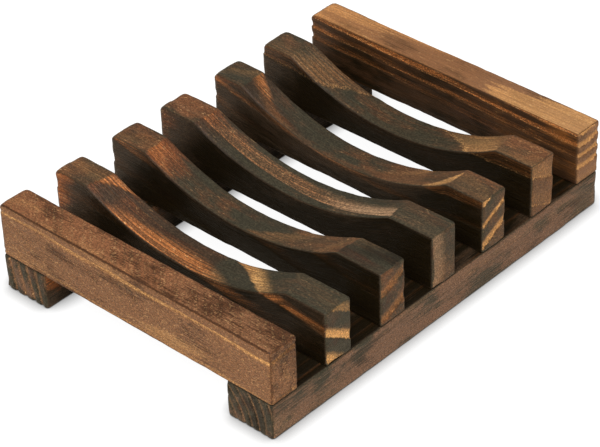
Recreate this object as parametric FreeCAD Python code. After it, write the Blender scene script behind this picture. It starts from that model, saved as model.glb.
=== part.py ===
# Slatted soap dish of charred softwood.
# Two rails lie on the table. Two straight end bars and a row of scooped slats cross them, and one brad at
# each crossing, driven up through the rail, holds the slat down. The scoops together make the soap's cradle.
# Sizes are millimetres. X runs along the rails, Y along the slats and +Z is up. The origin is on the table,
# under the middle of the dish.
import FreeCAD
import Part
import math
import os

# Section and length that the end bars and the scooped slats share
SLAT_LENGTH = 88.5
SLAT_WIDTH = 8.8
SLAT_HEIGHT = 15.2

# Row of slats: how many are scooped, and the drain gap left between neighbours
SCOOPED_SLATS = 5
DRAIN_GAP = 9.7

# Rails
RAIL_WIDTH = 14.4
RAIL_HEIGHT = 10.0

# Scoop: the flat land left at each end, the depth at mid length and the easing of the crest between them
LAND_LENGTH = 11.0
SCOOP_DEPTH = 9.0
CREST_ROUND = 1.6

# Easing of every other edge
EDGE_ROUND = 0.8

# How far each scooped slat was nailed off its even place, at its right end and at its left end
NAILED_OFF = ((-0.3, -0.2), (0.1, 0.4), (0.0, -1.1), (0.1, 0.1), (0.4, -0.3))

# Brads: a wire shank with a flat head and a point
BRAD_SHANK_DIAMETER = 1.2
BRAD_HEAD_DIAMETER = 2.2
BRAD_HEAD_THICKNESS = 0.8
BRAD_POINT_LENGTH = 2.0
BRAD_BITE = 9.4
BRAD_SINK = 0.4
BRAD_FIT = 0.02

# Sizes that follow from those above
SLAT_COUNT = SCOOPED_SLATS + 2
SLAT_PITCH = SLAT_WIDTH + DRAIN_GAP
RAIL_LENGTH = SLAT_COUNT * SLAT_WIDTH + (SLAT_COUNT - 1) * DRAIN_GAP
RAIL_MIDDLE_Y = (SLAT_LENGTH - RAIL_WIDTH) / 2
END_BAR_X = (RAIL_LENGTH - SLAT_WIDTH) / 2
BRAD_LENGTH = RAIL_HEIGHT - BRAD_SINK + BRAD_BITE

UP = FreeCAD.Vector(0, 0, 1)
SAME_PLACE = 1e-6


def slat_seats():
    """Each bar and slat from the front to the rear: its name, its middle X and its lean, X per Y."""
    seats = [("front_end_bar", -END_BAR_X, 0.0)]
    for index in range(SCOOPED_SLATS):
        right, left = NAILED_OFF[index % len(NAILED_OFF)]
        middle = -END_BAR_X + (index + 1) * SLAT_PITCH + (right + left) / 2
        seats.append((f"scooped_slat_{index + 1}", middle, (left - right) / SLAT_LENGTH))
    seats.append(("rear_end_bar", END_BAR_X, 0.0))
    return seats


def stick(width, length, height):
    """A planed stick with eased edges, centred in X and Y, standing on Z 0."""
    block = Part.makeBox(width, length, height, FreeCAD.Vector(-width / 2, -length / 2, 0))
    return block.makeFillet(EDGE_ROUND, block.Edges)


def scooped_stick():
    """A slat's stick with its top hollowed by one arc between two flat lands."""
    half_length = SLAT_LENGTH / 2
    half_scoop = half_length - LAND_LENGTH
    face_x = -SLAT_WIDTH / 2

    def at(y, z):
        return FreeCAD.Vector(face_x, y, z)

    right_crest = at(-half_scoop, SLAT_HEIGHT)
    left_crest = at(half_scoop, SLAT_HEIGHT)
    outline = [
        Part.LineSegment(at(-half_length, 0), at(half_length, 0)),
        Part.LineSegment(at(half_length, 0), at(half_length, SLAT_HEIGHT)),
        Part.LineSegment(at(half_length, SLAT_HEIGHT), left_crest),
        Part.Arc(left_crest, at(0, SLAT_HEIGHT - SCOOP_DEPTH), right_crest),
        Part.LineSegment(right_crest, at(-half_length, SLAT_HEIGHT)),
        Part.LineSegment(at(-half_length, SLAT_HEIGHT), at(-half_length, 0)),
    ]
    profile = Part.Wire([piece.toShape() for piece in outline])
    blank = Part.Face(profile).extrude(FreeCAD.Vector(SLAT_WIDTH, 0, 0))

    def is_crest(edge):
        return abs(abs(edge.CenterOfMass.y) - half_scoop) < SAME_PLACE

    def is_upright(face):
        return face.Surface.TypeId == "Part::GeomPlane" and abs(face.normalAt(0, 0).z) < 0.5

    crested = blank.makeFillet(CREST_ROUND, [edge for edge in blank.Edges if is_crest(edge)])
    outer = {edge.hashCode(): edge for face in crested.Faces if is_upright(face) for edge in face.Edges}
    return crested.makeFillet(EDGE_ROUND, list(outer.values()))


def brad(extra=0.0):
    """A brad standing on its head at Z 0; extra grows it all round, to cut the hole that it sits in."""
    head = BRAD_HEAD_DIAMETER / 2 + extra
    shank = BRAD_SHANK_DIAMETER / 2 + extra
    head_top = BRAD_HEAD_THICKNESS + extra
    tip = BRAD_LENGTH + extra
    shoulder = tip - BRAD_POINT_LENGTH
    corners = [(0, 0), (head, 0), (head, head_top), (shank, head_top), (shank, shoulder), (0, tip), (0, 0)]
    profile = Part.makePolygon([FreeCAD.Vector(x, 0, z) for x, z in corners])
    return Part.Face(profile).revolve(FreeCAD.Vector(0, 0, 0), UP, 360)


def brad_hole():
    """The hole that a driven brad leaves, open at the rail's underside."""
    mouth_radius = BRAD_HEAD_DIAMETER / 2 + BRAD_FIT
    mouth = Part.makeCylinder(mouth_radius, 2 * BRAD_SINK, FreeCAD.Vector(0, 0, -BRAD_SINK))
    return brad(BRAD_FIT).translated(FreeCAD.Vector(0, 0, BRAD_SINK)).fuse(mouth)


def crossings(side):
    """Where the brads of one rail stand: on the rail's middle line, under each slat's own middle line."""
    y = side * RAIL_MIDDLE_Y
    return [FreeCAD.Vector(middle + lean * y, y, 0) for _, middle, lean in slat_seats()]


def rail(side):
    """One rail on the table, flush with the slats' ends, bored by its brads."""
    body = stick(RAIL_LENGTH, RAIL_WIDTH, RAIL_HEIGHT)
    body.translate(FreeCAD.Vector(0, side * RAIL_MIDDLE_Y, 0))
    return body.cut([brad_hole().translated(spot) for spot in crossings(side)])


def seated_slat(index, name, middle, lean):
    """One bar or slat on the rails, turned by its lean and bored by its two brads."""
    body = scooped_stick() if name.startswith("scooped") else stick(SLAT_WIDTH, SLAT_LENGTH, SLAT_HEIGHT)
    body.rotate(FreeCAD.Vector(0, 0, 0), UP, -math.degrees(math.atan(lean)))
    body.translate(FreeCAD.Vector(middle, 0, RAIL_HEIGHT))
    return body.cut([brad_hole().translated(crossings(side)[index]) for side in (-1, 1)])


def rail_brads(side):
    """The brads of one rail, as separate solids."""
    lift = FreeCAD.Vector(0, 0, BRAD_SINK)
    return Part.makeCompound([brad().translated(spot + lift) for spot in crossings(side)])


def pieces():
    """Every piece of the dish, by name."""
    made = {}
    for hand, side in (("right", -1), ("left", 1)):
        made[f"{hand}_rail"] = rail(side)
        made[f"{hand}_rail_brads"] = rail_brads(side)
    for index, (name, middle, lean) in enumerate(slat_seats()):
        made[name] = seated_slat(index, name, middle, lean)
    return made


os.makedirs("parts", exist_ok=True)
for name, shape in pieces().items():
    shape.exportStep(f"parts/{name}.step")
    print(f"{name}: {len(shape.Solids)} solid(s), {shape.Volume:.1f} mm3, valid {shape.isValid()}")
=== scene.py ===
# %% [markdown]
# # A slatted soap dish of charred wood
# The dish is nine softwood sticks: two rails lie on the table, two straight bars close the ends, and five
# scooped slats between them hold the soap. Each stick was burnt with a torch, brushed, and lacquered.
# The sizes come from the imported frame, so every stick made here sits where its solid is.

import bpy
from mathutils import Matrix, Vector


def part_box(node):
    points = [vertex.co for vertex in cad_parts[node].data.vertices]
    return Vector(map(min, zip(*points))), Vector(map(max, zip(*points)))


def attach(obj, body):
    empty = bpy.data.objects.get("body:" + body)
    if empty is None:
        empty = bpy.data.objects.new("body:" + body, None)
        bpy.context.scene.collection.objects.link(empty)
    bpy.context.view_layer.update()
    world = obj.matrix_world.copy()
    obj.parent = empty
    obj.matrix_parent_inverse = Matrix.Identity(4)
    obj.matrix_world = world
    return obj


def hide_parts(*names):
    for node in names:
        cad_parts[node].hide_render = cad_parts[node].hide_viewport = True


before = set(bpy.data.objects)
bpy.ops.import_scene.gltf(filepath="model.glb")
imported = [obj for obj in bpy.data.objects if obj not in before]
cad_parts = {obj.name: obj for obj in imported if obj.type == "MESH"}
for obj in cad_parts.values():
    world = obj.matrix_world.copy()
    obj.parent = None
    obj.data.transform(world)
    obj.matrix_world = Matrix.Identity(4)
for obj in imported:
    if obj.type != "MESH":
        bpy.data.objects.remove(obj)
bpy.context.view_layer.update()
print("nodes:", ", ".join(sorted(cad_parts)))

# %% [markdown]
# ## Where each stick lies
# Wood is easiest to describe along its own grain, so each stick gets its own frame in millimetres: u runs
# across it and a runs along it, both from its middle, and z runs up from its underside. Seen from the near
# end, u points to the right. The nailer did not set every slat quite square, so its lean is read from the
# frame.

# %% Measure the sticks
import math
from dataclasses import dataclass, replace

import bpy
import numpy as np
from mathutils import Quaternion, Vector

MM = 0.001
END_ZONE = 0.002                # points this near to an end tell where it lies, in metres


@dataclass
class Stick:
    """A stick's size in millimetres, and its place on the table in metres."""
    name: str
    size: np.ndarray            # across, along and up
    middle: np.ndarray          # the middle of its underside
    heading: float              # turn of its length from the Y axis towards the X axis, in radians

    @property
    def is_scooped(self):
        return self.name.startswith("scooped")


def measure(name, size, along):
    """Read a stick's middle and heading from the two ends of its solid; along is the axis it lies on."""
    points = np.array([vertex.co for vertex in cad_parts[name].data.vertices])
    low, high = points.min(0), points.max(0)
    across = 1 - along
    near, far = (points[np.abs(points[:, along] - end[along]) < END_ZONE, across] for end in (low, high))
    shift = (far.min() + far.max() - near.min() - near.max()) / 2
    heading = math.atan2(shift, high[along] - low[along]) + (math.pi / 2 if along == 0 else 0.0)
    middle = np.array([(low[0] + high[0]) / 2, (low[1] + high[1]) / 2, low[2]])
    return Stick(name, size, middle, heading)


def node_size(name):
    """The size of a node's box in millimetres."""
    low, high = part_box(name)
    return np.array(high - low) / MM


SLAT_SIZE = node_size("front_end_bar")
RAIL_SIZE = node_size("right_rail")[[1, 0, 2]]  # a rail lies along X, so its width is the size in Y
SCOOPED = sorted(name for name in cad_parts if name.startswith("scooped"))
SLATS = ["front_end_bar", *SCOOPED, "rear_end_bar"]
RAILS = ["right_rail", "left_rail"]
sticks = [measure(name, SLAT_SIZE, along=1) for name in SLATS]
sticks += [measure(name, RAIL_SIZE, along=0) for name in RAILS]
for stick in sticks:
    print(f"{stick.name}: {stick.size.round(1)} mm, heading {math.degrees(stick.heading):.2f} degrees")

# %% [markdown]
# ## How each stick was sawn
# A softwood ring starts pale and soft and ends dark and hard. Brushing after the torch digs out the soft
# part, so each ring shows as a pale hollow next to a dark ridge. The rings cross a stick as parallel,
# slightly curved layers. A few numbers for each stick say how its layers lie, and then its ends, sides and
# scoop all show the same layers, as in real wood. Bands painted on each face would not meet at the edges.

# %% Sawing of each stick


@dataclass
class Sawn:
    """The growth layers of one stick, in its own frame, in millimetres."""
    tilt: float                 # climb of the layers towards +u, in degrees; past 90 they grow downwards
    start: tuple                # a point (u, z) of the near end where a ring starts
    pitch: float                # ring spacing
    shares: tuple               # pale share of the rings, in turn, from the ring below the start
    run: float = 0.0            # drift of the layers in their growing direction, for each millimetre along
    curve: float = 0.0          # bend of the layers, one over their radius
    rings: tuple = (1.0,)       # how pale the rings are, in turn, from the ring below the start
    arch: float = 0.0           # sag of the layers at mid length
    depths: tuple = None        # scoop depth on the front and on the back face


SAWN = {
    "front_end_bar": Sawn(186, (0, 13.3), 11.5, (0.09,), -0.008, rings=(0.0, 1.0, 0.5)),
    "scooped_slat_1": Sawn(
        -29.6, (0, 5.6), 6.7, (0.44, 0.35, 0.36), 0.091, rings=(0.8, 1.0, 0.3), arch=-1.0, depths=(8.6, 7.5)),
    "scooped_slat_2": Sawn(24, (0, 1.8), 7.0, (0.40,), 0.146, depths=(7.9, 8.3)),
    "scooped_slat_3": Sawn(
        -90, (-3.9, 7.0), 4.4, (0.85,), 0.042, curve=0.02, rings=(0.0, 1.0), depths=(8.0, 7.5)),
    "scooped_slat_4": Sawn(27, (0, 9.3), 5.4, (0.40, 0.27), 0.065, curve=0.01, arch=4.6, depths=(9.1, 9.3)),
    "scooped_slat_5": Sawn(-21, (0, 9.8), 8.1, (0.60,), rings=(0.5, 1.0), arch=1.2, depths=(9.1, 8.7)),
    "rear_end_bar": Sawn(3.5, (0, 7.4), 3.3, (0.50,), 0.04, curve=-0.06, rings=(1.0, 1.0, 1.0, 1.0, 0.2)),
    "right_rail": Sawn(-57, (0.1, 8.2), 2.55, (0.30,), -0.02, curve=0.07, rings=(0.6, 0.9)),
    "left_rail": Sawn(-80, (1.0, 5.0), 2.9, (0.36,), 0.02, curve=0.01, rings=(0.8, 1.0)),
}
print(f"{len(SAWN)} sticks have their growth layers described")

# %% [markdown]
# ## How each stick was torched and brushed
# The torch did not reach every face alike. Faces that look into a gap are nearly black, partly from char and
# partly as painted shade, and their far ends are lighter as a painted sheen. The lands at the slats' ends are
# brown, and the scoops were brushed until the pale layers came out. Masks painted on each face would need
# images, so a few values for each stick are spread over its parts instead. Three sets of values say how bare
# the brush left the pale layers, how far the rest is burnt, and how far the heat toasted it red. One pattern
# of toast serves for some slats, and the others only name where theirs differs.

# %% Torch and brush


@dataclass(frozen=True)
class Parts:
    """A value for each part of a stick, from its near end; a scooped slat has no outer side."""
    top: tuple                  # near land, near crest, foot of the near slope, floor, far crest, far land
    side: tuple                 # near, middle and far
    end: float
    outer: tuple = (0.0,) * 3   # the side that looks away from the dish: near, middle and far


# On a scoop the toast is low on the near slope and high on the far one: the near slope is tan, the far orange
TOAST = Parts(top=(0.4, 0.1, 0.1, 0.8, 1.0, 0.4), side=(1.0,) * 3, end=0.15, outer=(0.1,) * 3)
STREAK_TOAST = replace(TOAST, top=(0.4, 0.1, 0.1, 1.0, 1.0, 0.4))
BROWN_TOAST = replace(TOAST, top=(0.4, 0.1, 0.1, 0.8, 0.5, 0.4))
RED_TOAST = replace(TOAST, end=0.6)
BAR_TOAST = replace(TOAST, top=(0.1, 0.1, 0.2, 0.4, 0.4, 0.4))
# Rail tops are toasted all over, partly to paint warm glints where they show in the gaps
RAIL_TOAST_AND_GLINTS = replace(TOAST, top=(1.0,) * 6)


@dataclass
class Finish:
    """Where one stick is bare, burnt (1 is char, 2 is soot) and toasted red, and how deep the brush went."""
    bare: Parts
    burnt: Parts
    recess: float = 0.28        # how deep the palest layers lie in the end grain, in millimetres
    toast: Parts = TOAST


# On faces that look into gaps, the high side values of burnt are partly painted shade, the low far ones a
# painted sheen
FINISH = {
    "front_end_bar": Finish(
        bare=Parts(top=(0.3,) * 6, side=(0.2,) * 3, end=0.3, outer=(1.0, 0.8, 0.9)),
        burnt=Parts(
            top=(0.5, 1.0, 0.65, 0.3, 0.28, -0.2), side=(1.4, 1.4, 1.2), end=0.3, outer=(-0.35, 0.15, -0.4)),
        recess=0.35, toast=BAR_TOAST),
    "scooped_slat_1": Finish(
        bare=Parts(top=(0.1, 0.0, 0.8, 0.85, 0.8, 0.15), side=(1.3, 0.05, 0.4), end=1.4),
        burnt=Parts(top=(1.1, 0.9, 1.0, 1.05, 0.5, 0.5), side=(1.5, 1.7, -0.2), end=0.95),
        toast=STREAK_TOAST),
    "scooped_slat_2": Finish(
        bare=Parts(top=(0.1, 0.05, 0.15, 0.15, 0.4, 0.1), side=(0.06, 0.06, 0.45), end=0.36),
        burnt=Parts(top=(1.4, 0.4, 0.4, 0.9, 0.5, 0.5), side=(2.1, 1.8, 0.6), end=0.65),
        toast=RED_TOAST),
    "scooped_slat_3": Finish(
        bare=Parts(top=(0.05, 0.55, 0.5, 0.5, 0.6, 0.05), side=(0.0, 0.0, 0.3), end=0.35),
        burnt=Parts(top=(1.0, 0.8, 0.9, 1.0, 0.6, 0.45), side=(1.8, 1.7, 0.35), end=0.7)),
    "scooped_slat_4": Finish(
        bare=Parts(top=(0.1, 1.0, 0.15, 0.05, 0.45, 0.1), side=(0.15, 0.2, 1.0), end=1.1),
        burnt=Parts(top=(0.5, 0.4, 0.55, 0.85, 1.05, 0.9), side=(1.8, 1.2, 0.6), end=0.65)),
    "scooped_slat_5": Finish(
        bare=Parts(top=(0.25, 0.75, 0.2, 0.1, 0.3, 0.15), side=(0.15, 0.04, 0.25), end=0.3),
        burnt=Parts(top=(0.45, 0.35, 0.7, 0.95, 0.85, 0.75), side=(2.1, 1.9, 0.8), end=0.1),
        toast=BROWN_TOAST),
    "rear_end_bar": Finish(
        bare=Parts(top=(0.55, 0.65, 0.75, 0.8, 0.8, 1.2), side=(1.9, 1.6, 1.5), end=1.0, outer=(0.9,) * 3),
        burnt=Parts(top=(0.0, 0.05, 0.1, 0.1, 0.05, -0.3), side=(0.6, 1.15, 0.9), end=0.2, outer=(0.3,) * 3),
        recess=0.35, toast=BAR_TOAST),
    # A rail's top shows only in the gaps: burnt to soot partly as painted shade, toasted red as painted
    # glints
    "right_rail": Finish(
        bare=Parts(top=(0.05,) * 6, side=(0.25,) * 3, end=0.6, outer=(0.3,) * 3),
        burnt=Parts(top=(1.8,) * 6, side=(1.4,) * 3, end=1.15, outer=(0.36, 0.2, 0.36)),
        recess=0.35, toast=RAIL_TOAST_AND_GLINTS),
    "left_rail": Finish(
        bare=Parts(top=(0.1,) * 6, side=(0.25,) * 3, end=0.7, outer=(0.3,) * 3),
        burnt=Parts(top=(1.8,) * 6, side=(0.6, 1.4, 1.4), end=0.85, outer=(0.36, 0.2, 0.36)),
        recess=0.45, toast=RAIL_TOAST_AND_GLINTS),
}
print(f"{len(FINISH)} sticks have their finish described")

# %% [markdown]
# ## The stick's skin
# A stick could be a cube with a bevel, but its faces then have no points to carve. Instead a lattice wraps
# the whole stick. Its lines stand close enough for the brushed relief, and closer in the eased edges, where
# each point is drawn onto a round about the edge. Neighbouring faces share their points, so the skin is
# closed.

# %% Lattice skin
LATTICE_STEP = 0.36
EDGE_STEPS = 4                  # lattice lines from the start of an eased edge to its middle
EDGE_TURN = 45                  # degrees from the start of an eased edge to its middle
# Reach of the eased edges across, along and up: first below the stick's middle in each direction, then above
NEAR_EASE = np.array([0.75, 0.8, 0.4])
FAR_EASE = np.array([0.75, 1.6, 0.75])


def lattice_lines(length, near_ease, far_ease):
    """Places of the lattice lines over one length, closer in the eased edges."""
    near, far = near_ease - length / 2, length / 2 - far_ease
    inner = np.linspace(near, far, round((far - near) / LATTICE_STEP) + 1)
    turn = np.tan(np.radians(np.linspace(0, EDGE_TURN, EDGE_STEPS + 1)[1:]))
    return np.concatenate([near - near_ease * turn[::-1], inner, far + far_ease * turn])


def lattice_skin(size):
    """Points of a block's surface lattice, centred on the block, and the quads that join them."""
    lines = [lattice_lines(*line) for line in zip(size, NEAR_EASE, FAR_EASE)]
    counts = [len(line) for line in lines]
    grid = np.indices(counts)
    last = np.array(counts).reshape(3, 1, 1, 1) - 1
    on_skin = ((grid == 0) | (grid == last)).any(0)
    number = np.full(counts, -1)
    number[on_skin] = np.arange(on_skin.sum())
    points = np.stack([line[index[on_skin]] for line, index in zip(lines, grid)], axis=1)
    quads = []
    for axis in range(3):
        for end in (0, -1):
            face = np.take(number, end, axis=axis)
            corners = [face[:-1, :-1], face[1:, :-1], face[1:, 1:], face[:-1, 1:]]
            # Turn the quads of every second face round, so that all of them look outwards
            if (end == 0) != (axis == 1):
                corners.reverse()
            quads.append(np.stack(corners, axis=-1).reshape(-1, 4))
    return points, np.concatenate(quads)


def ease_edges(points, size):
    """Draw the points in the edge zones onto rounds, which are longest at the far end of the stick."""
    inner = np.clip(points, NEAR_EASE - size / 2, size / 2 - FAR_EASE)
    ease = np.where(points < 0, NEAR_EASE, FAR_EASE)
    outward = (points - inner) / ease
    return inner + ease * outward / np.linalg.norm(outward, axis=1, keepdims=True)


sample_points, sample_quads = lattice_skin(SLAT_SIZE)
print(f"a slat's skin has {len(sample_points)} points and {len(sample_quads)} quads")

# %% [markdown]
# ## The scoop and the rounded ends
# The hollow in a slat's top is one arc of a circle, sanded on a drum, so it is a little deeper on one face
# than on the other. The far ends of the slats and bars were sanded round too. The points of the top move
# straight down by both amounts, and those of the sides follow in proportion. A Boolean cut would give the
# same hollow, but would break the even lattice.

# %% Scoop the slats
LAND_LENGTH = 11.0
SCOOP_DEPTH = 9.0               # depth of the arc that gives the scoops their radius
SCOOP_MIDDLE = 0.8              # where along a slat its scoop is deepest
CREST_SOFTNESS = 0.3
END_ROUND = 2.6                 # how far the rounding reaches from the far end
END_DROP = 1.8                  # how far the corners of the far end sink
RIGID_TOP = 2.0                 # the upper part of a side that sinks as far as the top
RIGID_FOOT = 1.0                # the lower part of a side that does not sink


def scoop_drop(u, a, size, depths):
    """How far the top sinks at each point, with a softened crest where the scoop meets the lands."""
    half_scoop = size[1] / 2 - LAND_LENGTH
    radius = (half_scoop**2 + SCOOP_DEPTH**2) / (2 * SCOOP_DEPTH)
    front, back = depths
    depth = (front + back) / 2 + (back - front) * u / size[0]
    cut = np.sqrt(radius**2 - (a - SCOOP_MIDDLE)**2) - radius + depth
    return (cut + np.hypot(cut, CREST_SOFTNESS)) / 2


def end_drop(u, a, size):
    """How far the top sinks where the far end was sanded round, most at its two corners."""
    to_end = np.clip((a - size[1] / 2 + END_ROUND) / END_ROUND, 0, 1)
    to_side = np.clip((np.abs(u) - size[0] / 2 + END_ROUND) / END_ROUND, 0, 1)
    reach = to_end**2 * (1 + to_side**2) / 2
    return END_DROP * (1 - np.sqrt(1 - reach))


def sink_top(points, size, drop):
    """Sink the top of a stick, and its sides in proportion; z runs from the stick's underside."""
    share = np.clip((points[:, 2] - RIGID_FOOT) / (size[2] - RIGID_TOP - RIGID_FOOT), 0, 1)
    return points - np.outer(share * drop, (0, 0, 1))


print(f"scoop of {SCOOP_DEPTH} mm between lands of {LAND_LENGTH} mm")

# %% [markdown]
# ## Growth layers and brushed relief
# Each point of the skin gets its layer number: its whole part counts the rings and its fraction says how far
# the ring has grown. A few slow waves keep the layers from being dead straight. The same number later colours
# the wood, so the pale bands always lie in the hollows. The relief only goes inwards, as brushing does, so no
# stick grows into its neighbour.

# %% Layers and relief
WAVE_COUNT = 5
WAVE_LENGTHS = (14.0, 60.0)
WAVE_SLANT = 0.05               # spread of the waves across and up, in turns for each millimetre
WAVE_HEIGHT = 0.2
HOLLOW_START = 0.06             # the part of a ring over which its hollow sinks in
HOLLOW_FADE = (0.5, 1.3)        # where the hollow begins and ends to rise, in pale shares


def waves(points, seed):
    """Slow wandering along a stick, about -1 to 1: a few sine waves from a fixed seed."""
    chance = np.random.default_rng(seed)
    total = np.zeros(len(points))
    for _ in range(WAVE_COUNT):
        length = chance.uniform(*WAVE_LENGTHS)
        across = chance.normal(0, WAVE_SLANT, 2)
        phase = points[:, 1] / length + points[:, [0, 2]] @ across + chance.uniform()
        total += np.sin(2 * np.pi * phase)
    return total / math.sqrt(WAVE_COUNT)


def layer_number(points, size, sawn, seed):
    """Which ring each point lies in, and how far that ring has grown there."""
    turn = math.radians(sawn.tilt)
    u = points[:, 0] - sawn.start[0]
    z = points[:, 2] - sawn.start[1]
    grown = z * math.cos(turn) - u * math.sin(turn)
    beside = u * math.cos(turn) + z * math.sin(turn)
    along = points[:, 1] / size[1] + 0.5
    drift = sawn.run * along * size[1] - sawn.arch * 4 * along * (1 - along)
    return (grown + sawn.curve * beside**2 / 2 - drift + WAVE_HEIGHT * waves(points, seed)) / sawn.pitch


def ramp(value, low, high):
    """A smooth step from 0 to 1."""
    step = np.clip((value - low) / (high - low), 0, 1)
    return step * step * (3 - 2 * step)


def pale_share(layer, share):
    """1 in the pale start of a ring, falling to 0 in its dark end."""
    grown = layer - np.floor(layer)
    fade_start, fade_end = HOLLOW_FADE
    return (1 - ramp(grown, fade_start * share, fade_end * share)) * ramp(grown, 0.0, HOLLOW_START)


def ring_value(layer, values):
    """The value of the ring that each point lies in; the values are used in turn."""
    return np.array(values)[np.mod(np.floor(layer).astype(int) + 1, len(values))]


print(f"layers wander by about {WAVE_HEIGHT} mm")

# %% [markdown]
# ## Parts of a stick
# A point of the skin belongs to an end, a side or the top, and the top is either a flat land or the scoop.
# The values chosen above are spread over the points by that. Points near an edge also get their distance from
# it, because fire and wear both start at edges.

# %% Parts of a stick
TOUCHING = 1e-6
# Places along a stick, from its middle
SLOPE_FOOT = -18.0
SCOOP_FLOOR = (-4.0, 17.0)
SIDE_MIDDLE = (-4.0, 28.0)


def on_end(block, size):
    return np.abs(block[:, 1]) > size[1] / 2 - TOUCHING


def on_underside(block, size):
    return block[:, 2] < TOUCHING - size[2] / 2


def on_side(block, size):
    """The two sides; the underside is finished like them."""
    return (np.abs(block[:, 0]) > size[0] / 2 - TOUCHING) | on_underside(block, size)


def on_outer(block, stick):
    """The side that looks away from the dish; a scooped slat has none."""
    across = (math.cos(stick.heading), -math.sin(stick.heading))
    facing = 0 if stick.is_scooped else np.sign(stick.middle[:2] @ across)
    return facing * block[:, 0] > stick.size[0] / 2 - TOUCHING


def spread(parts, block, stick, cut):
    """Give every point the value of the part that it lies on."""
    near_land, near_crest, foot, floor, far_crest, far_land = parts.top
    size, along = stick.size, block[:, 1]
    half = size[1] / 2
    crest = half - LAND_LENGTH
    places = (-half, -crest, SLOPE_FOOT, *SCOOP_FLOOR, crest, half)
    slopes = np.interp(along, places, (near_land, near_crest, foot, floor, floor, far_crest, far_land))
    lands = np.interp(along, (-half, half), (near_land, far_land))
    is_land = stick.is_scooped & (cut <= CREST_SOFTNESS / 2)
    values = np.where(is_land, lands, slopes)
    side_places = (-crest, *SIDE_MIDDLE, half)
    sides = [(on_side(block, size), parts.side), (on_outer(block, stick), parts.outer)]
    for faces, (near, middle, far) in sides:
        values = np.where(faces, np.interp(along, side_places, (near, middle, middle, far)), values)
    values[on_end(block, size)] = parts.end
    return values


def gap_depth(block, stick):
    """Depth of each point in a gap: 1 at an inner side's foot and underneath, 0 at its top and elsewhere."""
    size = stick.size
    in_gap = on_side(block, size) & ~on_outer(block, stick) & ~on_end(block, size)
    return np.where(in_gap, 0.5 - block[:, 2] / size[2], 0)


def arris_distance(block, size):
    """Distance of each lattice point from the nearest edge of its block."""
    return np.sort(size / 2 - np.abs(block), axis=1)[:, 1]


def rim_distance(block, size):
    """Distance of each lattice point from the front edge of the stick's top."""
    return np.maximum(block[:, 0] + size[0] / 2, size[2] / 2 - block[:, 2])


print("points are sorted into ends, sides, lands and scoop")

# %% [markdown]
# ## Pits of the brads
# The brads were driven up through the rails until their heads sat a little below the wood. The skin of a
# rail's underside is pushed in round each head, so the heads show at the bottom of shallow pits. A Boolean
# could cut the pits too, but would break the even lattice.

# %% Pits of the brads
PIT_DEPTH = 0.7
PIT_RADIUS = 1.15
PIT_RIM = 1.6
BRAD_SPACING = 5.0              # two brads stand further apart than this, and no brad is as wide


def brad_places(rail):
    """Places of a rail's brads along it, in millimetres from its middle."""
    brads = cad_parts[rail.name + "_brads"].data
    wires = np.array([vertex.co.x for vertex in brads.vertices]) / MM
    wires = np.sort(wires - rail.middle[0] / MM)
    groups = np.split(wires, np.flatnonzero(np.diff(wires) > BRAD_SPACING) + 1)
    return [(group[0] + group[-1]) / 2 for group in groups]


def pit_brads(points, block, rail):
    """Push the underside of a rail in round its brads."""
    pitted = points.copy()
    under = on_underside(block, rail.size)
    for place in brad_places(rail):
        distance = np.hypot(points[:, 0], points[:, 1] - place)
        pitted[:, 2] += under * PIT_DEPTH * (1 - ramp(distance, PIT_RADIUS, PIT_RIM))
    return pitted


print("brads at", [round(place, 1) for place in brad_places(sticks[-1])], "mm along a rail")

# %% [markdown]
# ## Cutting and carving
# Each stick is planed, with its edges eased, and then a slat is scooped and a rail is pitted. The brush digs
# the pale layers out, deepest in end grain, the fibres leave slight furrows, and the edges are worn. A
# displacement in the material would leave the mesh itself smooth, so the depths are worked out here for
# every point.

# %% Cut and carve
SIDE_DIG = 0.5                  # how deep the brush digs on the sides, as a share of the end grain
FIBRE_DEPTH = 0.03
FIBRE_CLOSENESS = 3             # how many times closer these waves stand than those of the layers
FIBRE_SEED = 50                 # added to a stick's own seed
WEAR_DEPTH = 0.05
WEAR_REACH = 1.2
WEAR_CLOSENESS = 4
WEAR_SEED = 90


def shape_stick(stick, block):
    """The points of a planed stick, the same points once it is cut, and how deep the scoop is there."""
    size, depths = stick.size, SAWN[stick.name].depths
    planed = ease_edges(block, size) + (0, 0, size[2] / 2)
    u, a, _ = planed.T
    cut = scoop_drop(u, a, size, depths) if depths else np.zeros(len(block))
    if stick.name in RAILS:
        return planed, pit_brads(planed, block, stick), cut
    return planed, sink_top(planed, size, cut + end_drop(u, a, size)), cut


def relief(stick, seed, block, planed, layer):
    """How deep the brush, the fibres and the wear of the edges go at each point, in millimetres."""
    sawn, finish, size = SAWN[stick.name], FINISH[stick.name], stick.size
    brush = np.where(on_end(block, size), finish.recess, SIDE_DIG * finish.recess)
    depth = brush * ring_value(layer, sawn.rings) * pale_share(layer, ring_value(layer, sawn.shares))
    depth += FIBRE_DEPTH * np.clip(waves(planed * FIBRE_CLOSENESS, seed + FIBRE_SEED), 0, 1)
    at_edge = 1 - ramp(arris_distance(block, size), 0.0, WEAR_REACH)
    depth += WEAR_DEPTH * np.clip(waves(planed * WEAR_CLOSENESS, seed + WEAR_SEED), 0, 1) * at_edge
    return depth


print(f"the brush digs up to {max(finish.recess for finish in FINISH.values())} mm into the end grain")

# %% [markdown]
# ## Making the sticks
# Each skin becomes a mesh and is carved along its normals. The layer number, the finish, the distance from
# the edge and the place in the grain are stored on its points, where the material reads them later. An
# unwrapped picture could hold them too, but points need no unwrapping. The grain is stored as it was before
# scooping, so brush marks follow the scoop.

# %% Make the sticks
GAP_PAINTED_SHADE = 0.6                  # painted shade: how much more the foot of an inner side is burnt, darker down the gap
GAP_SHADE_POWER = 3                   # power by which the pale layers fade down a gap, as painted shade
PIECE_OFFSET = (100.0, 37.0, 0.0)  # takes each stick to its own place in the noise


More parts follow.
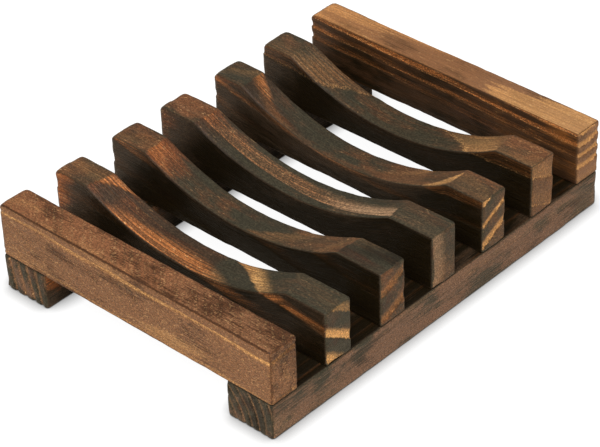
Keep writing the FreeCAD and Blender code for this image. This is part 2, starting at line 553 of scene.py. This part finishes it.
def to_world(points, stick):
    """From the stick's own frame in millimetres to the table in metres."""
    turn = stick.heading
    across = (math.cos(turn), -math.sin(turn), 0)
    along = (math.sin(turn), math.cos(turn), 0)
    u, a, z = points.T * MM
    return stick.middle + np.outer(u, across) + np.outer(a, along) + np.outer(z, (0, 0, 1))


def store(mesh, name, values):
    """Keep one number or vector for each point on the mesh, for the material to read."""
    values = np.asarray(values, np.float32)
    kind, field = ("FLOAT", "value") if values.ndim == 1 else ("FLOAT_VECTOR", "vector")
    mesh.attributes.new(name, kind, "POINT").data.foreach_set(field, values.ravel())


def store_finish(mesh, stick, block, cut, layer):
    """Store the layers, the finish with painted shade deep in the gaps, and the distances from the edges."""
    sawn, finish = SAWN[stick.name], FINISH[stick.name]
    deep = gap_depth(block, stick)
    laid_bare = ring_value(layer, sawn.rings) * spread(finish.bare, block, stick, cut)
    store(mesh, "layer", layer)
    store(mesh, "share", ring_value(layer, sawn.shares))
    # Painted shade: deeper in a gap the pale layers fade and the fire rises
    store(mesh, "bare", laid_bare * (1 - deep)**GAP_SHADE_POWER)
    store(mesh, "burnt", spread(finish.burnt, block, stick, cut) + GAP_PAINTED_SHADE * deep)
    store(mesh, "toast", spread(finish.toast, block, stick, cut))
    store(mesh, "arris", arris_distance(block, stick.size))
    store(mesh, "rim", rim_distance(block, stick.size))


def make_stick(stick, seed):
    """One closed, carved stick that stands for its solid."""
    block, quads = lattice_skin(stick.size)
    planed, points, cut = shape_stick(stick, block)
    mesh = bpy.data.meshes.new(stick.name + "_wood")
    mesh.from_pydata(to_world(points, stick), [], quads)
    normals = np.empty(3 * len(points), np.float32)
    mesh.vertex_normals.foreach_get("vector", normals)
    layer = layer_number(points, stick.size, SAWN[stick.name], seed)
    depth = relief(stick, seed, block, planed, layer)
    carved = to_world(points, stick) - normals.reshape(-1, 3) * depth[:, None] * MM
    mesh.vertices.foreach_set("co", carved.astype(np.float32).ravel())

    store_finish(mesh, stick, block, cut, layer)
    store(mesh, "grain", planed + seed * np.array(PIECE_OFFSET))
    mesh.polygons.foreach_set("use_smooth", np.ones(len(mesh.polygons), bool))
    mesh.update()
    piece = bpy.data.objects.new(stick.name + "_wood", mesh)
    bpy.context.scene.collection.objects.link(piece)
    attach(piece, "root")
    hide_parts(stick.name)
    return piece


pieces = {stick.name: make_stick(stick, seed) for seed, stick in enumerate(sticks, start=1)}
print(f"{len(pieces)} sticks, {sum(len(piece.data.polygons) for piece in pieces.values())} quads")

# %% [markdown]
# ## Shorthand for node trees
# The finish is built from nodes. They could be placed by hand in the shader editor, but a script gives the
# same trees each time. These helpers add a node, set its inputs and link them in one call, so the material
# cells below read as recipes.

# %% Node helpers


def set_inputs(tree, node, inputs):
    """Link each input that is given a socket, and set each one that is given a value."""
    for name, value in inputs.items():
        if isinstance(value, bpy.types.NodeSocket):
            tree.links.new(value, node.inputs[name])
        else:
            node.inputs[name].default_value = value


def add(tree, kind, inputs=None, **settings):
    """Add a node with its settings and inputs."""
    made = tree.nodes.new(kind)
    for name, value in settings.items():
        setattr(made, name, value)
    set_inputs(tree, made, inputs or {})
    return made


def maths(tree, operation, first, second=0.0):
    return add(tree, "ShaderNodeMath", {0: first, 1: second}, operation=operation).outputs[0]


def times(tree, first, *others):
    """Multiply values."""
    for other in others:
        first = maths(tree, "MULTIPLY", first, other)
    return first


def span(tree, value, low, high, to_low=0.0, to_high=1.0):
    """A smooth step of a value from one range to another."""
    inputs = {"Value": value, "From Min": low, "From Max": high, "To Min": to_low, "To Max": to_high}
    return add(tree, "ShaderNodeMapRange", inputs, interpolation_type="SMOOTHSTEP").outputs["Result"]


def blend(tree, factor, first, second):
    """Mix two colours."""
    return add(tree, "ShaderNodeMix", {0: factor, 6: first, 7: second}, data_type="RGBA").outputs[2]


def new_group(name, inputs):
    """A shader node group and what enters it: floats, or a vector where the name is Grain."""
    tree = bpy.data.node_groups.new(name, "ShaderNodeTree")
    for label in inputs:
        kind = "NodeSocketVector" if label == "Grain" else "NodeSocketFloat"
        tree.interface.new_socket(label, in_out="INPUT", socket_type=kind)
    return tree, tree.nodes.new("NodeGroupInput").outputs


def finish_group(tree, results):
    """Give a group an output for each of its results."""
    for label in results:
        tree.interface.new_socket(label, in_out="OUTPUT", socket_type="NodeSocketFloat")
    set_inputs(tree, tree.nodes.new("NodeGroupOutput"), results)
    return tree


def use(tree, group, inputs):
    """Put a node group into a tree."""
    return add(tree, "ShaderNodeGroup", inputs, node_tree=group).outputs


def new_material(name):
    """A new material with its node tree and its shader."""
    material = bpy.data.materials.new(name)
    material.use_nodes = True
    return material, material.node_tree, material.node_tree.nodes["Principled BSDF"]


print("helpers add nodes, node groups and materials")

# %% [markdown]
# ## Fibres
# Softwood is a bundle of fibres that all run along the stick. A picture of wood would not follow the scoop,
# so noise that is stretched along the grain makes them: broad strands, fine hairs, brush scratches, pores,
# and short flecks, which stand partly for fibres that were torn open and partly for painted glints. Slow
# blotches and patches stand for uneven torching, and on the bars the patches also paint a pale sheen. Saw
# marks cross the grain at a slant, so their noise varies along one slanted line, and tears are dots in those
# marks.

# %% Fibre group
SAW_PITCH = (0.5, -0.5, 0.5)    # waves of the saw marks for each millimetre across, along and up
SAW_DETAIL = 2.0


def noise(tree, place, stretch, detail=3.0, roughness=0.55):
    """Noise whose cells have the given frequency, for each millimetre across, along and up."""
    scaled = add(tree, "ShaderNodeVectorMath", {0: place, 1: stretch}, operation="MULTIPLY").outputs[0]
    inputs = {"Vector": scaled, "Scale": 1.0, "Detail": detail, "Roughness": roughness}
    return add(tree, "ShaderNodeTexNoise", inputs).outputs[0]


def fibre_group():
    """Masks of the fibres and marks in the wood, each from 0 to 1."""
    tree, entering = new_group("wood fibres", ["Grain"])
    grain = entering["Grain"]

    def mask(stretch, low, high, **texture):
        return span(tree, noise(tree, grain, stretch, **texture), low, high)

    slant = add(tree, "ShaderNodeVectorMath", {0: grain, 1: SAW_PITCH}, operation="DOT_PRODUCT")
    saw_inputs = {"W": slant.outputs["Value"], "Scale": 1.0, "Detail": SAW_DETAIL}
    saw = add(tree, "ShaderNodeTexNoise", saw_inputs, noise_dimensions="1D")
    return finish_group(tree, {
        "Strand": mask((0.9, 0.035, 0.9), 0.34, 0.66, detail=4.0),
        "Hair": mask((3.6, 0.10, 3.6), 0.34, 0.66),
        "Scratch": mask((2.6, 0.025, 2.6), 0.42, 0.62, detail=1.0),
        "Pore": mask((3.6, 2.0, 3.6), 0.36, 0.68, roughness=0.65),
        "Fleck": mask((2.4, 0.8, 2.4), 0.64, 0.74, detail=1.0),
        "Tear": mask((2.2, 2.2, 2.2), 0.54, 0.66, detail=0.0),
        "Blotch": mask((0.16, 0.07, 0.16), 0.36, 0.64, detail=5.0, roughness=0.6),
        "Patch": mask((0.22, 0.03, 0.22), 0.50, 0.74),
        "Saw": span(tree, saw.outputs[0], 0.36, 0.64),
    })


FIBRES = fibre_group()
print("node group:", FIBRES.name)

# %% [markdown]
# ## Growth layers as colour
# The layer number on the points is turned into a pale mask: 1 at a ring's pale start, fading to 0 at its dark
# end, with a bright line where it starts. A little fibre noise frays the edge. A wave texture could draw
# rings too, but not the same ones that were carved.

# %% Layer group
RING_START = 0.08               # the part of a ring over which its pale start comes up
PALE_FADE = (0.5, 1.35)         # where the pale part begins and ends to fade, in pale shares
LINE_FADE = (0.02, 0.12)        # where the bright line begins and ends to fade


def layer_group():
    """Masks of the pale part of each ring and of the line where it starts."""
    tree, entering = new_group("growth layers", ["Layer", "Share", "Fray"])
    grown = maths(tree, "FRACT", maths(tree, "ADD", entering["Layer"], entering["Fray"]))
    fade_start, fade_end = (times(tree, entering["Share"], part) for part in PALE_FADE)
    start = span(tree, grown, 0.0, RING_START)
    fade = span(tree, grown, fade_start, fade_end, 1.0, 0.0)
    line = span(tree, grown, *LINE_FADE, 1.0, 0.0)
    return finish_group(tree, {"Pale": times(tree, start, fade), "Line": times(tree, start, line)})


LAYERS = layer_group()
print("node group:", LAYERS.name)

# %% [markdown]
# ## Colours of the sticks
# All sticks are one kind of wood, so one set of colours serves most slats. The end bars and rails came from
# browner boards, and the front bar still shows the saw, so they name what differs. Nine materials made by
# hand would drift apart, so one function makes them all from these values and the shared node groups.

# %% Tones


@dataclass
class Tone:
    """The colours of one stick, and how strongly its marks show."""
    soot: tuple = (0.0095, 0.0056, 0.0014, 1)
    # The default char is lightened towards olive-grey, partly as a painted grey sheen
    char: tuple = (0.043, 0.037, 0.022, 1)
    ember: tuple = (0.050, 0.023, 0.012, 1)     # char that is still brown
    brown: tuple = (0.15, 0.070, 0.031, 1)
    rust: tuple = (0.21, 0.062, 0.019, 1)       # toasted brown
    tan: tuple = (0.68, 0.36, 0.13, 1)
    orange: tuple = (0.64, 0.22, 0.06, 1)       # toasted tan
    gold: tuple = (0.80, 0.48, 0.21, 1)
    mottle: float = 0.45        # how uneven the torching is
    fray: float = 0.045         # how far the fibres blur a layer's border, in layers
    line: float = 0.0           # how bright the start of a ring is
    grit: float = 0.38          # how strongly the pores show
    fleck: float = 0.3          # how bright the gold flecks are: partly torn fibres, partly painted glints
    streak: float = 0.45        # how bright the scratches in toasted wood are
    saw: float = 0.0            # how strongly the saw marks show
    rows: float = 0.0           # how bright the rows of dots are that the saw tore
    rim: float = 0.0            # how dark the front edge of the top is
    broken: float = 0.0         # how much the pores break up the pale layers in toasted wood
    pale_patch_sheen: float = 0.0         # how pale the palest patches are, partly a painted sheen


RAIL_TONE = Tone(brown=(0.170, 0.093, 0.056, 1), rust=(0.20, 0.066, 0.022, 1), mottle=1.2, fleck=0.1)
TONES = {
    # The front bar's bright ring line under its top edge is partly pale wood and partly a painted highlight
    "front_end_bar": Tone(
        char=(0.075, 0.029, 0.011, 1), brown=(0.215, 0.102, 0.047, 1), mottle=1.2, line=0.7, streak=0.0,
        saw=0.3, rows=0.16, rim=0.95, pale_patch_sheen=0.3),
    "scooped_slat_1": Tone(tan=(0.74, 0.40, 0.14, 1)),
    "scooped_slat_3": Tone(tan=(0.72, 0.44, 0.25, 1), line=0.3, fleck=0.5, broken=0.6),
    "scooped_slat_5": Tone(line=3.0),
    "rear_end_bar": Tone(
        char=(0.053, 0.024, 0.007, 1), brown=(0.235, 0.118, 0.060, 1), rust=(0.24, 0.085, 0.020, 1),
        mottle=0.7, fray=0.10, line=0.6, grit=0.12, fleck=0.2, streak=0.15, broken=0.7, pale_patch_sheen=0.15),
    "right_rail": replace(RAIL_TONE, tan=(0.30, 0.19, 0.11, 1)),
    "left_rail": replace(RAIL_TONE, tan=(0.30, 0.17, 0.09, 1)),
}
print(f"{len(TONES)} sticks have colours of their own")

# %% [markdown]
# ## Burnt ground
# The ground of each stick is brown wood that the torch turned to olive-black char where it stayed, and to
# soot where it stayed longest. The default char is lightened towards olive-grey, partly as a painted sheen.
# The value on the points says how far it is burnt, and blotches, hairs and saw marks make that uneven before
# it picks the colour. Noise on the finished colour would look like dirt.

# %% Burnt ground
WOOD, CHAR, SOOT = 0.0, 1.0, 2.0
MASK_MIDDLE = 0.5
TORCH_HAIR = 0.5                # how much the hairs count beside the blotches
EMBER_TOAST = (0.8, 1.0)        # from which toast on char stays brown
EMBER_GLOW = 0.6                # how brown it stays


def attribute(tree, name, output="Fac"):
    """A value that is stored on the points."""
    return add(tree, "ShaderNodeAttribute", attribute_name=name).outputs[output]


def swing(tree, value, middle, amount):
    """A value that swings about zero by an amount."""
    return times(tree, maths(tree, "SUBTRACT", value, middle), amount)


def fire_level(tree, tone, fibres):
    """How far each place is burnt, from wood over char to soot."""
    torch = maths(tree, "ADD", fibres["Blotch"], times(tree, fibres["Hair"], TORCH_HAIR))
    torch = swing(tree, torch, MASK_MIDDLE * (1 + TORCH_HAIR), tone.mottle)
    sawn = swing(tree, fibres["Saw"], MASK_MIDDLE, tone.saw)
    return maths(tree, "ADD", maths(tree, "ADD", attribute(tree, "burnt"), torch), sawn)


def char_colour(tree, tone, fibres, toast):
    """Char, which stays brown in patches and where the wood was toasted most."""
    glow = span(tree, toast, *EMBER_TOAST, 0.0, EMBER_GLOW)
    return blend(tree, maths(tree, "MAXIMUM", fibres["Patch"], glow), tone.char, tone.ember)


def ground_colour(tree, tone, fibres, toast, fire, char):
    """Brown wood, red where toasted and pale in patches that partly paint sheen, under char and soot."""
    colour = blend(tree, toast, tone.brown, tone.rust)
    colour = blend(tree, times(tree, fibres["Patch"], tone.pale_patch_sheen), colour, tone.tan)
    colour = blend(tree, span(tree, fire, WOOD, CHAR), colour, char)
    return blend(tree, span(tree, fire, CHAR, SOOT), colour, tone.soot)


print(f"fire runs from {WOOD} for wood over {CHAR} for char to {SOOT} for soot")

# %% [markdown]
# ## Pale layers and torn fibres
# Pale layers show over the ground where the brush laid them bare: tan where they only saw the brush, orange
# where they were toasted too. Scratches and pores break them up, and brush scratches shine in toasted wood.
# Gold flecks stand partly for torn fibres and partly for painted glints. Each of these is a mask, by which
# its colour is mixed over the ground. A material for each colour would need borders cut into the mesh.

# %% Pale layers and torn fibres
SCRATCH_GAPS = (0.6, 0.25)      # what is left of a pale layer between scratches: untoasted and toasted
PORE_BREAK = (0.3, 0.8)         # pores between which a broken layer comes back
STREAK_FIRE = (0.0, 0.7)        # fire over which the bright scratches die out
LINE_PORES = (0.45, 0.75)       # pores between which the line at a ring's start shows
FLECK_FIRE = (0.2, 1.2)         # fire over which the flecks die out
ROW_MARKS = (0.5, 0.8)          # saw marks over which the torn dots come up


def pale_mask(tree, tone, fibres, pale, bare, toast, fire):
    """How far the pale layers and the bright scratches show."""
    gaps = span(tree, toast, 0.0, 1.0, *SCRATCH_GAPS)
    lined = times(tree, pale, span(tree, fibres["Scratch"], 0.0, 1.0, gaps, 1.0))
    least = maths(tree, "SUBTRACT", 1.0, times(tree, toast, tone.broken))
    whole = span(tree, fibres["Pore"], *PORE_BREAK, least, 1.0)
    light = times(tree, span(tree, fire, *STREAK_FIRE, tone.streak, 0.0), toast)
    return maths(tree, "MAXIMUM", times(tree, lined, whole, bare), times(tree, light, fibres["Scratch"]))


def line_mask(tree, tone, fibres, line, bare):
    """How far the line at the start of each ring shows."""
    return times(tree, line, bare, tone.line, span(tree, fibres["Pore"], *LINE_PORES))


def fleck_and_glint_mask(tree, tone, fibres, fire, shown):
    """How far gold flecks show, partly torn fibres and partly painted glints, and the dots in saw marks."""
    flecks = times(tree, fibres["Fleck"], span(tree, fire, *FLECK_FIRE, tone.fleck, 0.0))
    rows = times(tree, fibres["Tear"], span(tree, fibres["Saw"], *ROW_MARKS, 0.0, tone.rows))
    specks = maths(tree, "MAXIMUM", flecks, rows)
    return maths(tree, "MAXIMUM", specks, times(tree, fibres["Fleck"], shown))


print("masks for pale layers, lines and torn fibres")

# %% [markdown]
# ## Edges, lacquer and the whole finish
# Edges took more fire, so they are darker, and the front bar's top has a dark rim at its front. The lacquer
# is satin, so dark wood picks up a grey sheen from the white table. The finest fibres could not be carved
# into this lattice, so a bump stands for them. The whole finish lays these steps over each other, from the
# ground up.

# %% Wood materials
RIM_REACH = (0.15, 0.6)
EDGE_REACH = (0.2, 0.9)
EDGE_CHAR = 0.8
EDGE_FRAY = 0.5                 # how far the hairs fray the dark edges, in millimetres
LACQUER_SPECULAR = 0.15
LACQUER_ROUGHNESS = (0.34, 0.52)
BUMP_STRENGTH = 0.5
BUMP_HEIGHT = 0.12 * MM
SCRATCH_HEIGHT = -0.8           # against hairs of 1
PORE_HEIGHT = 0.3


def darken_edges(tree, tone, fibres, colour, char):
    """Burn the front rim of the top, and every edge."""
    rim = span(tree, attribute(tree, "rim"), *RIM_REACH, tone.rim, 0.0)
    colour = blend(tree, rim, colour, tone.ember)
    distance = maths(tree, "ADD", attribute(tree, "arris"), times(tree, fibres["Hair"], EDGE_FRAY))
    return blend(tree, span(tree, distance, *EDGE_REACH, EDGE_CHAR, 0.0), colour, char)


def lacquer(tree, fibres):
    """The shader's inputs for satin lacquer over brushed fibres."""
    height = maths(tree, "ADD", fibres["Hair"], times(tree, fibres["Scratch"], SCRATCH_HEIGHT))
    height = maths(tree, "ADD", height, times(tree, fibres["Pore"], PORE_HEIGHT))
    bump_inputs = {"Height": height, "Strength": BUMP_STRENGTH, "Distance": BUMP_HEIGHT}
    return {
        "Specular IOR Level": LACQUER_SPECULAR,
        "Roughness": span(tree, fibres["Hair"], 0.0, 1.0, *LACQUER_ROUGHNESS),
        "Normal": add(tree, "ShaderNodeBump", bump_inputs).outputs[0],
    }


def wood_material(name):
    """The finish of one stick."""
    tone = TONES.get(name, Tone())
    material, tree, shader = new_material(name + "_charred_wood")
    bare, toast = attribute(tree, "bare"), attribute(tree, "toast")
    fibres = use(tree, FIBRES, {"Grain": attribute(tree, "grain", "Vector")})
    layers = use(tree, LAYERS, {
        "Layer": attribute(tree, "layer"),
        "Share": attribute(tree, "share"),
        "Fray": swing(tree, fibres["Strand"], MASK_MIDDLE, tone.fray),
    })
    fire = fire_level(tree, tone, fibres)
    char = char_colour(tree, tone, fibres, toast)
    colour = ground_colour(tree, tone, fibres, toast, fire, char)
    shown = pale_mask(tree, tone, fibres, layers["Pale"], bare, toast, fire)
    colour = blend(tree, shown, colour, blend(tree, toast, tone.tan, tone.orange))
    colour = blend(tree, line_mask(tree, tone, fibres, layers["Line"], bare), colour, tone.tan)
    colour = blend(tree, fleck_and_glint_mask(tree, tone, fibres, fire, shown), colour, tone.gold)
    colour = darken_edges(tree, tone, fibres, colour, char)
    grit = span(tree, fibres["Pore"], 0.0, 1.0, 1.0 - tone.grit, 1.0 + tone.grit)
    colour = add(tree, "ShaderNodeHueSaturation", {"Color": colour, "Value": grit}).outputs[0]
    set_inputs(tree, shader, {"Base Color": colour, **lacquer(tree, fibres)})
    return material


for name, piece in pieces.items():
    piece.data.materials.append(wood_material(name))
print(f"{len(pieces)} wood materials")

# %% [markdown]
# ## Brads
# The brads show only as small heads under the rails. Their solids are right as they are, so they keep them
# and only get a steel: bright wire with fine marks and a trace of dulling, both from noise in space, since
# the solids have no unwrapped faces to paint on.

# %% Brad steel
BRIGHT_STEEL = (0.55, 0.55, 0.56, 1)
DULL_STEEL = (0.30, 0.29, 0.28, 1)
DULLING = {"Scale": 400.0, "Detail": 3.0}       # noise cells for each metre
DULLING_LIMITS = (0.4, 0.65)
MARKS = {"Scale": 2500.0, "Detail": 4.0}
MARKS_LIMITS = (0.3, 0.7)
MARKS_BUMP = {"Strength": 0.3, "Distance": 0.02 * MM}
STEEL_ROUGHNESS = (0.25, 0.5)


def brad_steel():
    """Drawn wire, a little dull in places."""
    material, tree, shader = new_material("brad_steel")
    place = add(tree, "ShaderNodeTexCoord").outputs["Object"]
    marks = add(tree, "ShaderNodeTexNoise", {"Vector": place, **MARKS}).outputs[0]
    dulling = add(tree, "ShaderNodeTexNoise", {"Vector": place, **DULLING}).outputs[0]
    set_inputs(tree, shader, {
        "Base Color": blend(tree, span(tree, dulling, *DULLING_LIMITS), BRIGHT_STEEL, DULL_STEEL),
        "Roughness": span(tree, marks, *MARKS_LIMITS, *STEEL_ROUGHNESS),
        "Metallic": 1.0,
        "Normal": add(tree, "ShaderNodeBump", {"Height": marks, **MARKS_BUMP}).outputs[0],
    })
    return material


STEEL = brad_steel()
for rail in RAILS:
    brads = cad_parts[rail + "_brads"]
    brads.data.materials.clear()
    brads.data.materials.append(STEEL)
print("brads in", STEEL.name)

# %% [markdown]
# ## Table and light
# The dish stands on white paper with only a pale, soft shadow at its feet. A lamp under the table would need
# thin paper that lets light through. Instead the camera sees a glow, which an occlusion node dims near the
# dish as a painted contact shadow, while the dish is lit by the paper as plain paper, dark underneath it.
# The paper lies a hair below the rails, so no two faces share a place. A soft box above the camera's side and
# a little to its left lights the tops and fronts, and the room is a dim white.

# %% Table and light
WHITE = (1, 1, 1, 1)
TABLE_SIZE = 6.0
TABLE_TOP = -0.05 * MM
TABLE_GLOW = 0.93
PAINTED_SHADOW_GLOW = -0.28            # the glow left in the painted contact shadow where the table is fully covered
PAINTED_SHADOW_REACH = 0.005           # how far from the dish the glow fades into the painted contact shadow, in metres
TABLE_PAPER = (0.84, 0.76, 0.64, 1)  # the table as it lights the dish
TABLE_GLASS = (0.2, 0.2, 0.2, 1)     # the table as the camera sees it under its glow
ROOM_COLOUR = (1, 0.96, 0.90, 1)
ROOM_STRENGTH = 0.40
BOX_PLACE = (-0.36, -0.26, 0.72)
BOX_SIZE = 0.6
BOX_POWER = 8.0


def table_material():
    """White paper that glows for the camera only, dimmed near the dish as a painted contact shadow."""
    material, tree, shader = new_material("white_table")
    seen = add(tree, "ShaderNodeLightPath").outputs["Is Camera Ray"]
    painted_shadow_ao = add(tree, "ShaderNodeAmbientOcclusion", {"Distance": PAINTED_SHADOW_REACH}).outputs["AO"]
    glow = maths(tree, "ADD", times(tree, painted_shadow_ao, TABLE_GLOW - PAINTED_SHADOW_GLOW), PAINTED_SHADOW_GLOW)
    set_inputs(tree, shader, {
        "Base Color": blend(tree, seen, TABLE_PAPER, TABLE_GLASS),
        "Emission Color": WHITE,
        "Emission Strength": times(tree, seen, maths(tree, "MAXIMUM", glow, 0.0)),
        "Roughness": 1.0,
        "Specular IOR Level": 0.0,
    })
    return material


def table():
    """A wide square of paper under the dish."""
    mesh = bpy.data.meshes.new("table")
    half = TABLE_SIZE / 2
    corners = [(-half, -half, 0), (half, -half, 0), (half, half, 0), (-half, half, 0)]
    mesh.from_pydata(corners, [], [(0, 1, 2, 3)])
    mesh.materials.append(table_material())
    made = bpy.data.objects.new("table", mesh)
    made.location.z = TABLE_TOP
    bpy.context.scene.collection.objects.link(made)


def soft_box(name, place, size, power):
    """A square soft light that looks at the dish."""
    lamp = bpy.data.lights.new(name, "AREA")
    lamp.size = size
    lamp.energy = power
    made = bpy.data.objects.new(name, lamp)
    made.location = place
    made.rotation_euler = Vector(place).to_track_quat("Z", "Y").to_euler()
    bpy.context.scene.collection.objects.link(made)


table()
room = bpy.data.worlds.new("dim_white_room")
room.use_nodes = True
backdrop = room.node_tree.nodes["Background"]
set_inputs(room.node_tree, backdrop, {"Color": ROOM_COLOUR, "Strength": ROOM_STRENGTH})
bpy.context.scene.world = room
soft_box("front_box", BOX_PLACE, BOX_SIZE, BOX_POWER)
bpy.context.scene.view_settings.view_transform = "Standard"
print("light table, dim room and one soft box")

# %% [markdown]
# ## Camera
# The photograph was taken with a long lens from above the near corner. Its direction, distance and slight
# roll were found by laying the slats' corners over the picture. The direction is kept as two angles, because
# they are easier to read than a rotation.

# %% Camera
VIEW_TARGET = Vector((-0.00670, -0.00434, 0.012))
VIEW_DISTANCE = 0.63244
VIEW_AZIMUTH = math.radians(-46.5525)
VIEW_ELEVATION = math.radians(36.2243)
VIEW_ROLL = math.radians(-2.0)
LENS = 156.3

level = math.cos(VIEW_ELEVATION)
back = Vector((math.sin(VIEW_AZIMUTH) * level, -math.cos(VIEW_AZIMUTH) * level, math.sin(VIEW_ELEVATION)))
lens = bpy.data.cameras.new("camera")
lens.lens = LENS
camera = bpy.data.objects.new("camera", lens)
camera.location = VIEW_TARGET + VIEW_DISTANCE * back
camera.rotation_mode = "QUATERNION"
camera.rotation_quaternion = back.to_track_quat("Z", "Y") @ Quaternion((0, 0, 1), VIEW_ROLL)
bpy.context.scene.collection.objects.link(camera)
bpy.context.scene.camera = camera
print("camera at", tuple(round(value, 3) for value in camera.location))
